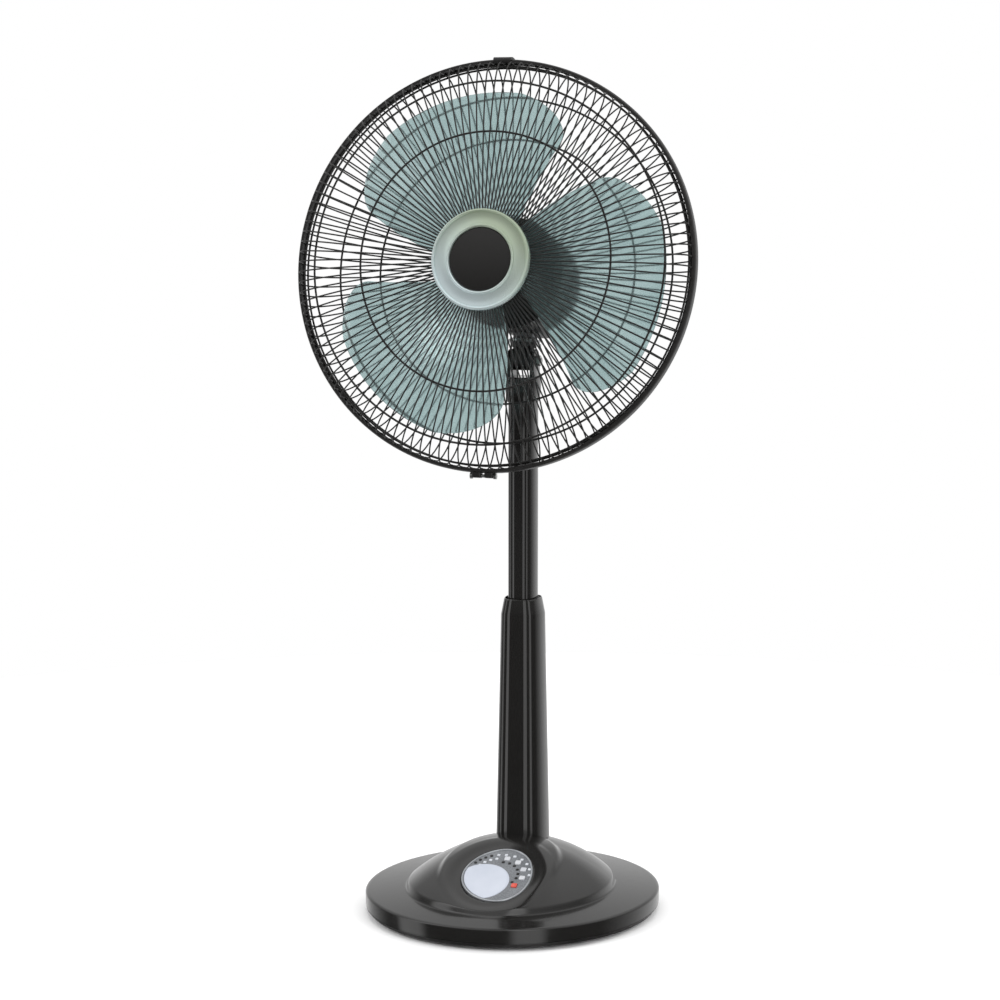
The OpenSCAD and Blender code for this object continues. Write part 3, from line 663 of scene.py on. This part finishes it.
def swingBoxPiece():
    # rounded box under the bell, drawn up into it: one outline scaled level by level
    x, y0, y1 = gearBox["halfWide"], gearBox["ahead"], gearBox["behind"]
    outline = roundCorners([[-x, y0], [x, y0], [x, y1], [-x, y1]], gearBox["corner"], 8)
    middle = np.array([0, (y0 + y1) / 2])
    rows = [np.c_[middle + (outline - middle) * k, np.full(len(outline), z)] for z, k in gearBox["levels"]]
    return gridPiece("swingGearBox", placeHead(np.array(rows)), wrapCols=True, capFirst=True, capLast=True,
                     sharp=40)


def frontCupPiece():
    # a turned cup: rounded face, a shallow groove in it, a threaded spigot for the guard's nut, and a bore
    m = motor
    radius, face, curve, spigot = m["radius"], m["face"], m["faceRound"], m["spigot"]
    t = np.linspace(0, math.pi / 2, 7)
    rim = np.c_[radius - curve + curve * np.cos(t), face - curve + curve * np.sin(t)]
    groove = [[40, face], [39, face - 1.2], [33, face - 1.2], [32, face], [spigot, face]]
    thread = [[spigot - 0.8 * (k % 2), face + 5 + k] for k in range(9)]
    inside = [[spigot - 0.6, m["spigotEnd"]], [spigot - 5, m["spigotEnd"]], [spigot - 5, face + 1],
              [m["bore"], face + 1], [m["bore"], face - 3], [radius - 2.5, face - 8],
              [radius - 2.5, m["split"]]]
    profile = np.concatenate([[[radius, m["split"]]], rim, groove, thread, inside])
    return lathe("motorFrontCover", profile, placeFan, 144, sharp=30)


finishPiece(rearBellPiece(), satinAbs, "head", "black_plastic", "motor_rear_cover")
finishPiece(swingBoxPiece(), satinAbs, "head", "black_plastic")
finishPiece(frontCupPiece(), satinAbs, "head", "black_plastic", "motor_front_cover")


guardNut = {"radius": 32.0, "bore": 19.4, "back": 76.0, "front": 82.0, "grips": 8, "gripDepth": 1.6}


def guardNutPiece():
    # ring nut that holds the rear guard: a plain bore, and an outside whose radius waves as a cosine
    n = guardNut
    a = np.linspace(0, 2 * math.pi, 192, endpoint=False)[None, :]
    z = np.array([n["back"], n["front"] - 1, n["front"], n["front"], n["back"]])[:, None]
    r = np.array([n["radius"], n["radius"], n["radius"] - 1, n["bore"], n["bore"]])[:, None]
    r = r + n["gripDepth"] * np.cos(n["grips"] * a) * (r > n["bore"])
    grid = np.stack([r * np.cos(a), r * np.sin(a), z + 0 * a], -1)
    return gridPiece("rearGuardNut", placeFan(grid), wrapRows=True, wrapCols=True, sharp=30)


finishPiece(guardNutPiece(), satinAbs, "head", "black_plastic", "rear_guard_nut")

# Columns: an oblong section with a flat front facet, narrow bevels beside it and full round sides.
print("columns")


def columnSection(w, d, f, steps=14):
    # half width, half depth and half facet give a half outline: facet edge, bevel, then a superellipse
    # side round to the middle of the back; its mirror image closes it
    bevelX, bevelY = f + 0.13 * w, -0.94 * d
    t = np.linspace(0, math.pi / 2, steps)
    front = np.c_[bevelX + (w - bevelX) * np.sin(t) ** 0.9,
                  bevelY + (0.1 * d - bevelY) * (1 - np.cos(t) ** 0.9)]
    back = np.c_[w * np.cos(t[1:]) ** 0.62, 0.1 * d + 0.9 * d * np.sin(t[1:]) ** 0.95]
    half = np.concatenate([[[f - 0.5, -d], [f, -d + 0.05]], front, back[:-1]])
    return np.concatenate([half, [[0, d]], half[::-1] * [-1, 1]])


def columnPiece(name, levels, tube=False, sharp=17):
    # sections joined level by level: capped at both ends, or closed into a tube by its inner levels
    outlines = [columnSection(w, d, f) for _, w, d, f in levels]
    rows = [np.c_[outline, np.full(len(outline), level[0])] for level, outline in zip(levels, outlines)]
    return gridPiece(name, placeColumn(np.array(rows)), wrapRows=tube, wrapCols=True, capFirst=not tube,
                     capLast=not tube, sharp=sharp)


outerTop = boxMm("outer_column")[1][2]
innerLow, innerHigh = boxMm("inner_column")
shoulder = outerTop - 17
column = {      # levels are height, half width, half depth and half facet
    "foot": (40.0, 30.1, 31.6, 10.3), "taperTop": (shoulder - 1, 24.1, 25.4, 8.1),
    "outerLip": [(shoulder + 1.5, 23.5, 25.1, 8.0), (outerTop - 1.2, 20.8, 22.8, 6.7),
                 (outerTop, 20.1, 22.1, 6.4)],
    "bore": [(outerTop, 19.4, 22.0, 6.0), (shoulder, 21.6, 23.0, 6.8), (40.0, 27.2, 28.4, 8.8)],
    "innerSection": (16.0, 19.0, 5.0),
}
taper = np.linspace(column["foot"], column["taperTop"], 8).tolist()
outerLevels = taper + column["outerLip"] + column["bore"]
innerLevels = [(z, *column["innerSection"]) for z in np.linspace(innerLow[2], innerHigh[2], 6)]
finishPiece(columnPiece("outerColumn", outerLevels, tube=True), glossAbs, "base", "charcoal_shell",
            "outer_column")
finishPiece(columnPiece("innerColumn", innerLevels), glossAbs, "mast", "charcoal_shell", "inner_column")

neckSocket = {
    "levels": [(576.0, 16.6, 19.6, 5.4), (576.0, 17.4, 20.4, 6.0), (577.0, 17.6, 20.7, 6.1),
               (589.0, 19.0, 21.8, 6.6), (591.0, 19.2, 21.9, 6.6), (602.5, 19.2, 20.6, 6.6),
               (604.0, 18.4, 19.6, 6.2)],
    "ear": 13.0, "earFoot": 600.0, "earInside": 11.3, "earOutside": 16.0,
}


def neckSocketPiece():
    # a sleeve over the column's top, carried up into two round ears for the tilt bolt
    n = neckSocket
    parts = [columnPiece("sleeve", n["levels"])]
    t = np.linspace(0, math.pi, 22)
    arc = np.c_[n["ear"] * np.cos(t), tiltHeight + n["ear"] * np.sin(t)]
    ear = np.concatenate([arc, [[-n["ear"], n["earFoot"]], [n["ear"], n["earFoot"]]]])
    for side in (-1, 1):
        def placeEar(p):      # x back, y up, z out to the side
            return placeColumn(np.stack([side * p[..., 2], p[..., 0], p[..., 1]], -1))
        parts.append(plate("ear", ear, n["earInside"], n["earOutside"], placeEar, 0.9))
    return joinMeshes("neckSocket", parts)


finishPiece(neckSocketPiece(), glossAbs, "mast", "charcoal_shell", "neck_socket")


neckYoke = {
    "knuckle": 11.0, "halfWide": 10.9, "lift": 4.0,
    "neck": [[0.01, 13.6], [9, 13.6], [12.6, 14.2], [14, 15.6], [14, 19.8], [13.2, 20.2], [13.2, 24.6],
             [12.6, 26], [0.01, 26]],
}


def neckYokePiece():
    # a rounded knuckle between the ears, its upper half lifted, then a turned neck up to the head
    n = neckYoke
    t = np.linspace(0, 2 * math.pi, 48, endpoint=False)
    knuckle = np.c_[n["knuckle"] * np.cos(t), n["knuckle"] * np.sin(t) + n["lift"] * (np.sin(t) > 0)]

    def placeKnuckle(p):      # x back, y up the head, z to the side
        return placeHead(np.stack([p[..., 2], p[..., 0], p[..., 1]], -1))

    low = plate("knuckle", knuckle, -n["halfWide"], n["halfWide"], placeKnuckle, 0.8)
    high = lathe("neckRound", n["neck"], placeHead, 96, sharp=30, closed=False)
    return joinMeshes("neckYoke", [low, high])


finishPiece(neckYokePiece(), satinAbs, "neck", "black_plastic", "neck_yoke")


knob = {
    "flutes": 7, "fluteDepth": 0.075, "gripFrom": 10.0,
    # radius, and depth from the outer face
    "profile": [[3, -21], [3, -14.2], [7, -14], [8, -12], [13.4, -11.5], [14, -10.8], [14, -3.5],
                [13.4, -1.6], [11.5, -0.4], [8, -0.1], [7.4, -0.8], [0.01, -0.8]],
}


def heightKnobPiece():
    # a hand knob: its grip's radius is less by the square of a raised cosine for each finger hollow
    low, high = boxMm("height_knob")
    middle = (low + high) / 2
    back = high[1]
    a = np.linspace(0, 2 * math.pi, 140, endpoint=False)[None, :]
    shape = np.array(knob["profile"])
    hollow = (0.5 + 0.5 * np.cos(knob["flutes"] * a)) ** 2
    flute = 1 - knob["fluteDepth"] * hollow * (shape[:, 0:1] > knob["gripFrom"])
    r = shape[:, 0:1] * flute
    x, y, z = middle[0] + r * np.cos(a), back + shape[:, 1:2] + 0 * a, middle[2] + r * np.sin(a)
    grid = np.stack([x, y, z], -1)
    return gridPiece("heightKnob", grid, wrapCols=True, capFirst=True, sharp=35)


finishPiece(heightKnobPiece(), satinAbs, "height_knob", "black_plastic", "height_knob")

# Base: a shallow oval plate, a raised island and a pod in front, as one height surface over the plan.
print("base")
coverLow, coverHigh = boxMm("base_cover")
base = {
    "halfWide": coverHigh[0], "halfDeep": coverHigh[1], "edge": 25.0, "crown": 9.0, "skirt": coverLow[2],
    "edgeRound": 2.2, "islandWide": 118.0, "islandDeep": 136.0, "islandY": -7.0, "step": 5.0, "swell": 44.0,
    "podWide": 66.0, "podDeep": 86.0, "podY": -50.0, "podLift": 3.6,
    "panelX": 5.0, "panelY": -78.0, "panelZ": 57.0, "panelSlope": 23.0, "padWide": 41.0, "padDeep": 44.0,
    "recess": 5.0, "wellWide": 28.0, "wellDeep": 29.0, "wellFloor": 14.0,
}
panelUp = -keyDown
panelBack = np.cross(panelUp, fanRight)
panelMid = np.array([base["panelX"], base["panelY"], base["panelZ"]])


def placePanel(p):    # x right, y up the panel, z out of it
    p = np.asarray(p, float)
    return panelMid + p[..., 0:1] * fanRight + p[..., 1:2] * panelBack + p[..., 2:3] * panelUp


def coverHeight(x, y, q):      # q is the distance from the island's middle, 1 at its edge
    # a crowned plate, plus the island's swell of (1 - q squared) ^ 0.9 and the step at its edge, less the
    # drop beside the pod; then eased onto the panel's plane round the panel, with a recess under the keys
    # and a well under the column for the mast
    b = base
    z = b["edge"] + b["crown"] * (1 - (x / b["halfWide"]) ** 2 - (y / b["halfDeep"]) ** 2)
    z = z + b["swell"] * np.clip(1 - q ** 2, 0, 1) ** 0.9 + b["step"] * smoothStep((1 - q) / 0.035)
    p = np.sqrt((x / b["podWide"]) ** 2 + ((y - b["podY"]) / b["podDeep"]) ** 2)
    wings = smoothStep((p - 0.93) / 0.12)
    z = z - b["podLift"] * wings * np.clip(1 - q ** 2, 0, 1) ** 0.35 * smoothStep((74 - y) / 60)
    flat = b["panelZ"] + (y - b["panelY"]) * math.tan(math.radians(b["panelSlope"]))
    reach = np.sqrt(((x - b["panelX"]) / b["padWide"]) ** 2 + ((y - b["panelY"]) / b["padDeep"]) ** 2)
    ease = smoothStep((1.7 - reach) / 0.58)
    z = z * (1 - ease) + flat * ease - b["recess"] * smoothStep((0.97 - reach) / 0.08)
    well = ((x / b["wellWide"]) ** 4 + ((y - columnY) / b["wellDeep"]) ** 4) ** 0.25
    down = smoothStep((1 - well) / 0.14)
    return z * (1 - down) + b["wellFloor"] * down


def coverPiece():
    # rings of one height surface: ellipses out to the island's edge, then ellipses that pass from it to
    # the plate's edge, a quarter round over that edge, and a skirt with a parting groove
    b = base
    a = np.linspace(0, 2 * math.pi, 288, endpoint=False)[None, :]
    q = np.concatenate([np.linspace(0.004, 0.93, 74), np.linspace(0.94, 1.0, 13)])[:, None]
    x, y = q * b["islandWide"] * np.cos(a), b["islandY"] + q * b["islandDeep"] * np.sin(a)
    island = np.stack([x, y, coverHeight(x, y, q)], -1)

    wide, deep = b["halfWide"] - b["edgeRound"], b["halfDeep"] - b["edgeRound"]
    k = np.linspace(0, 1, 20)[1:, None]
    x = (b["islandWide"] * (1 - k) + wide * k) * np.cos(a)
    y = b["islandY"] * (1 - k) + (b["islandDeep"] * (1 - k) + deep * k) * np.sin(a)
    rim = np.stack([x, y, coverHeight(x, y, np.ones_like(k))], -1)

    t = np.linspace(0, math.pi / 2, 6)[1:]
    edge = np.c_[b["edge"] - b["edgeRound"] * (1 - np.cos(t)), b["edgeRound"] * (1 - np.sin(t))]
    skirt = [[3, 0], [1.6, 0], [1.6, 0.7], [0.9, 0.7], [0.9, 0.2], [0.3, 0.2], [0, 0.6], [0, 2.8], [12, 3]]
    side = np.concatenate([edge, np.array(skirt) + [b["skirt"], 0]])      # height, and how far in
    z, back = side[:, 0:1], side[:, 1:2]
    wall = np.stack([(b["halfWide"] - back) * np.cos(a), (b["halfDeep"] - back) * np.sin(a), z + 0 * a], -1)
    rings = np.concatenate([island, rim, wall])
    return gridPiece("baseCover", rings, wrapCols=True, capFirst=True, sharp=40)


finishPiece(coverPiece(), glossAbs, "base", "charcoal_shell", "base_cover")

# Panel: a silver rim, a pale window at lower left, keys and small lamps in an arc.
print("panel")


panel = {
    "halfWide": 40.0, "halfTall": 47.0, "eggShare": 0.12, "turn": 8.0,
    "rimOut": -0.1, "rimIn": -2.3, "rimFoot": -6.0, "rimBase": 0.2, "rimHigh": 1.2,
    "windowIn": -3.2, "windowMiddle": (-14.0, -13.0), "windowReach": 31.0,
    "arcMiddle": (1.0, 1.0), "lampSize": 3.4, "legendSize": 3.2, "keyHalf": 3.2,
    # lamps and legends: the radius of an arc and the degrees along it
    "lamps": ((29.0, (108, 122, 136, 150, 164, 178)), (35.5, (5, 22, 39, 56, 73, 90, 104))),
    "legends": ((36.0, (117, 128, 139, 150)), (22.5, (-30, -10, 10, 30, 50, 70, 90))),
}


def egg(grow, turns=120):
    # an ellipse made taller on its right side by a share of the cosine, then turned a little in its plane
    a = np.linspace(0, 2 * math.pi, turns, endpoint=False)
    x = (panel["halfWide"] + grow) * np.cos(a)
    y = (panel["halfTall"] + grow) * np.sin(a) * (1 + panel["eggShare"] * np.cos(a))
    c, s = math.cos(math.radians(panel["turn"])), math.sin(math.radians(panel["turn"]))
    return np.c_[c * x - s * y, s * x + c * y]


def bezelPiece():
    # a half-round rim along the egg, let into the cover: between the outer and inner outlines the height
    # follows a sine
    outer, inner = egg(panel["rimOut"]), egg(panel["rimIn"])
    foot = np.full(len(outer), panel["rimFoot"])
    rows = [np.c_[outer, foot]]
    for k in np.linspace(0, math.pi, 11):
        mix = (1 - math.cos(k)) / 2
        height = panel["rimBase"] + panel["rimHigh"] * math.sin(k)
        rows.append(np.c_[outer * (1 - mix) + inner * mix, np.full(len(outer), height)])
    rows.append(np.c_[inner, foot])
    return gridPiece("panelBezel", placePanel(np.array(rows)), wrapRows=True, wrapCols=True, sharp=50)


finishPiece(bezelPiece(), silverPaint, "base", "silver_trim", "panel_bezel")


def windowOutline():
    # the window fills the egg's lower left and is cut by a round arc beside the keys
    outline = egg(panel["windowIn"], 240)
    middle = np.array(panel["windowMiddle"])
    away = outline - middle
    far = np.linalg.norm(away, axis=1, keepdims=True)
    return middle + away / far * np.minimum(far, panel["windowReach"])


window = plate("panelWindow", windowOutline(), -0.6, 1.0, placePanel, 0.5, crown=0.25)
finishPiece(window, paleWindow, "base", "pale_window")


def squareOutline(half, corner, steps):
    # a square about its own middle, with rounded corners
    return roundCorners([[-half, -half], [half, -half], [half, half], [-half, half]], corner, steps)


def tilesPiece(name, arcs, size):
    # small square tiles, each at its radius and angle about the arcs' middle
    tiles = []
    for radius, degrees in arcs:
        for d in np.radians(degrees):
            spot = np.array(panel["arcMiddle"]) + radius * np.array([math.cos(d), math.sin(d)])
            outline = squareOutline(size / 2, 0.7, 3) + spot
            tiles.append(plate("tile", outline, -0.2, 0.95, placePanel, 0.25, 3))
    return joinMeshes(name, tiles)


finishPiece(tilesPiece("panelLamps", panel["lamps"], panel["lampSize"]), ledWhite, "base", "led_windows")
finishPiece(tilesPiece("panelLegends", panel["legends"], panel["legendSize"]), satinAbs, "base",
            "black_plastic")

keyBodies = {"power_button": redKey, "speed_button": keyAbs, "timer_button": keyAbs,
             "rhythm_button": keyAbs, "swing_button": keyAbs}
for nodeName, material in keyBodies.items():
    low, high = boxMm(nodeName)
    middle = (low + high) / 2 - panelMid
    x, y = middle @ fanRight, middle @ panelBack
    key = nodeName.split("_")[0]
    outline = squareOutline(panel["keyHalf"], 1.2, 5) + [x, y]
    cap = plate(key + "Key", outline, -2.2, 1.8, placePanel, 0.6, 4, crown=0.2)
    finishPiece(cap, material, nodeName, "red_key" if key == "power" else "grey_keys", nodeName)

# CAD nodes that keep their own shape get the finish of the real part.
print("carried-over parts")
nodeFinish = (
    (rubber, ("foot_pads", "cord_gland")),
    (satinAbs, ("base_tray", "column_socket", "panel_bracket", "column_collar", "tact_switches",
                "ir_receiver", "run_capacitor", "front_guard_boss")),
    (castIron, ("base_ballast",)),
    (zincSteel, ("tray_screws", "socket_screws", "tilt_bolt", "tilt_nut", "cover_screws", "rim_screw")),
    (groundSteel, ("swing_slot_plate", "swing_pin", "swing_motor", "stator_core", "rotor_core",
                   "motor_shaft", "drive_pin")),
    (dieCast, ("motor_bracket",)),
    (copperWire, ("stator_windings",)),
    (bronze, ("motor_bushes",)),
    (acetal, ("mast_foot", "swing_crank")),
    (boardGreen, ("control_board", "power_board")),
    (greyBand, ("panel_lens",)),
    (ledWhite, ("indicator_leds",)),
    (powderCoat, ("rear_guard_plate", "front_guard_plate")),
)
for material, names in nodeFinish:
    for name in names:
        mesh = frame["nodes"][name].data
        mesh.materials.clear()
        mesh.materials.append(material)


# Pale studio: a white floor and backdrop. Gloss sees a darker room, with a bright strip each side.
print("studio")
studio = {
    "floorRadius": 1.6, "floorLight": "#fdfdfd", "floorDark": "#f8f8f8", "sky": "#ffffff", "skyPower": 1.0,
    "roomDark": 0.1, "roomBright": 0.8,
    # how far a direction has to point back, and up, for the room to go from dark to bright
    "behind": (0.1, 0.8), "above": (0.08, 0.8),
    "fadeUp": (0.1, 0.6), "fadeTo": 0.3,                          # brightness behind falls off upwards
    "strips": ((0.57, -0.82, 0.0), (-0.93, -0.36, 0.0)), "stripEdge": (0.958, 0.985), "stripPower": 1.05,
    "aim": (0.0, 0.0, 0.5),
    "lamps": {      # place, disc size and watts
        "key": ((-2.6, -2.4, 2.6), 1.4, 46.0), "fill": ((2.8, -1.8, 1.6), 1.4, 24.0),
        "top": ((0.0, 0.2, 3.4), 2.4, 26.0), "rim": ((2.2, 2.2, 1.6), 1.0, 30.0),
    },
}


def makeSky(s):
    # white for the camera and for soft light; gloss gets the room by direction: dark low in front,
    # bright behind near the horizon and again overhead, plus each strip where the level direction nears
    # the strip's own
    world = bpy.data.worlds.new("paleStudio")
    world.use_nodes = True
    tree = world.node_tree

    def ramp(socket, ends, low=0.0, high=1.0):
        settings = {"From Min": ends[0], "From Max": ends[1], "To Min": low, "To Max": high}
        return addNode(tree, "ShaderNodeMapRange", settings, Value=socket).outputs["Result"]

    def combine(operation, first, second, clamped=False):
        settings = {"operation": operation, "use_clamp": clamped}
        return addNode(tree, "ShaderNodeMath", settings, i0=first, i1=second).outputs["Value"]

    way = addNode(tree, "ShaderNodeTexCoord").outputs["Generated"]
    apart = addNode(tree, "ShaderNodeSeparateXYZ", None, Vector=way)
    behind, up = ramp(apart.outputs["Y"], s["behind"]), apart.outputs["Z"]
    horizon = combine("MULTIPLY", behind, ramp(up, s["fadeUp"], 1.0, s["fadeTo"]))
    openness = combine("MAXIMUM", horizon, ramp(up, s["above"]))
    lit = ramp(openness, (0.0, 1.0), s["roomDark"], s["roomBright"])
    level = addNode(tree, "ShaderNodeVectorMath", {"operation": "MULTIPLY", 1: (1.0, 1.0, 0.0)}, i0=way)
    unit = addNode(tree, "ShaderNodeVectorMath", {"operation": "NORMALIZE"}, i0=level.outputs["Vector"])
    for strip in s["strips"]:
        near = addNode(tree, "ShaderNodeVectorMath", {"operation": "DOT_PRODUCT", 1: strip},
                       i0=unit.outputs["Vector"])
        lit = combine("ADD", lit, ramp(near.outputs["Value"], s["stripEdge"], 0.0, s["stripPower"]))
    path = addNode(tree, "ShaderNodeLightPath").outputs
    mirrored = combine("SUBTRACT", path["Is Glossy Ray"], path["Is Transmission Ray"], clamped=True)
    power = addNode(tree, "ShaderNodeMix", {"data_type": "FLOAT", 2: s["skyPower"]}, i0=mirrored, i3=lit)
    background = tree.nodes["Background"]
    background.inputs["Color"].default_value = linear(s["sky"])
    tree.links.new(power.outputs[0], background.inputs["Strength"])
    bpy.context.scene.world = world


def makeStudio(s):
    # a round floor, the sky, and disc lamps that each face the aim; gloss sees neither floor nor lamps
    turn = np.linspace(0, 2 * math.pi, 96, endpoint=False)
    edge = np.c_[s["floorRadius"] * np.cos(turn), s["floorRadius"] * np.sin(turn), 0 * turn]
    mesh = bpy.data.meshes.new("floor")
    mesh.from_pydata(edge.tolist(), [], [list(range(len(edge)))])
    floor = bpy.data.objects.new("floor", mesh)
    bpy.context.scene.collection.objects.link(floor)
    paper = mottled("studioPaper", s["floorLight"], s["floorDark"], 30, 0.02, 0.85, 0.95, 900)
    mesh.materials.append(paper)
    floor.visible_glossy = False
    makeSky(s)
    for name, (place, size, power) in s["lamps"].items():
        data = bpy.data.lights.new(name, "AREA")
        data.shape = "DISK"
        data.size = size
        data.energy = power
        lamp = bpy.data.objects.new(name, data)
        bpy.context.scene.collection.objects.link(lamp)
        back = np.array(place) - np.array(s["aim"])
        flat = math.hypot(back[0], back[1])
        lamp.location = place
        lamp.rotation_euler = (math.atan2(flat, back[2]), 0, math.atan2(back[0], -back[1]))
        lamp.visible_camera = False
        lamp.visible_glossy = False
    bpy.context.scene.view_settings.view_transform = "Standard"


makeStudio(studio)
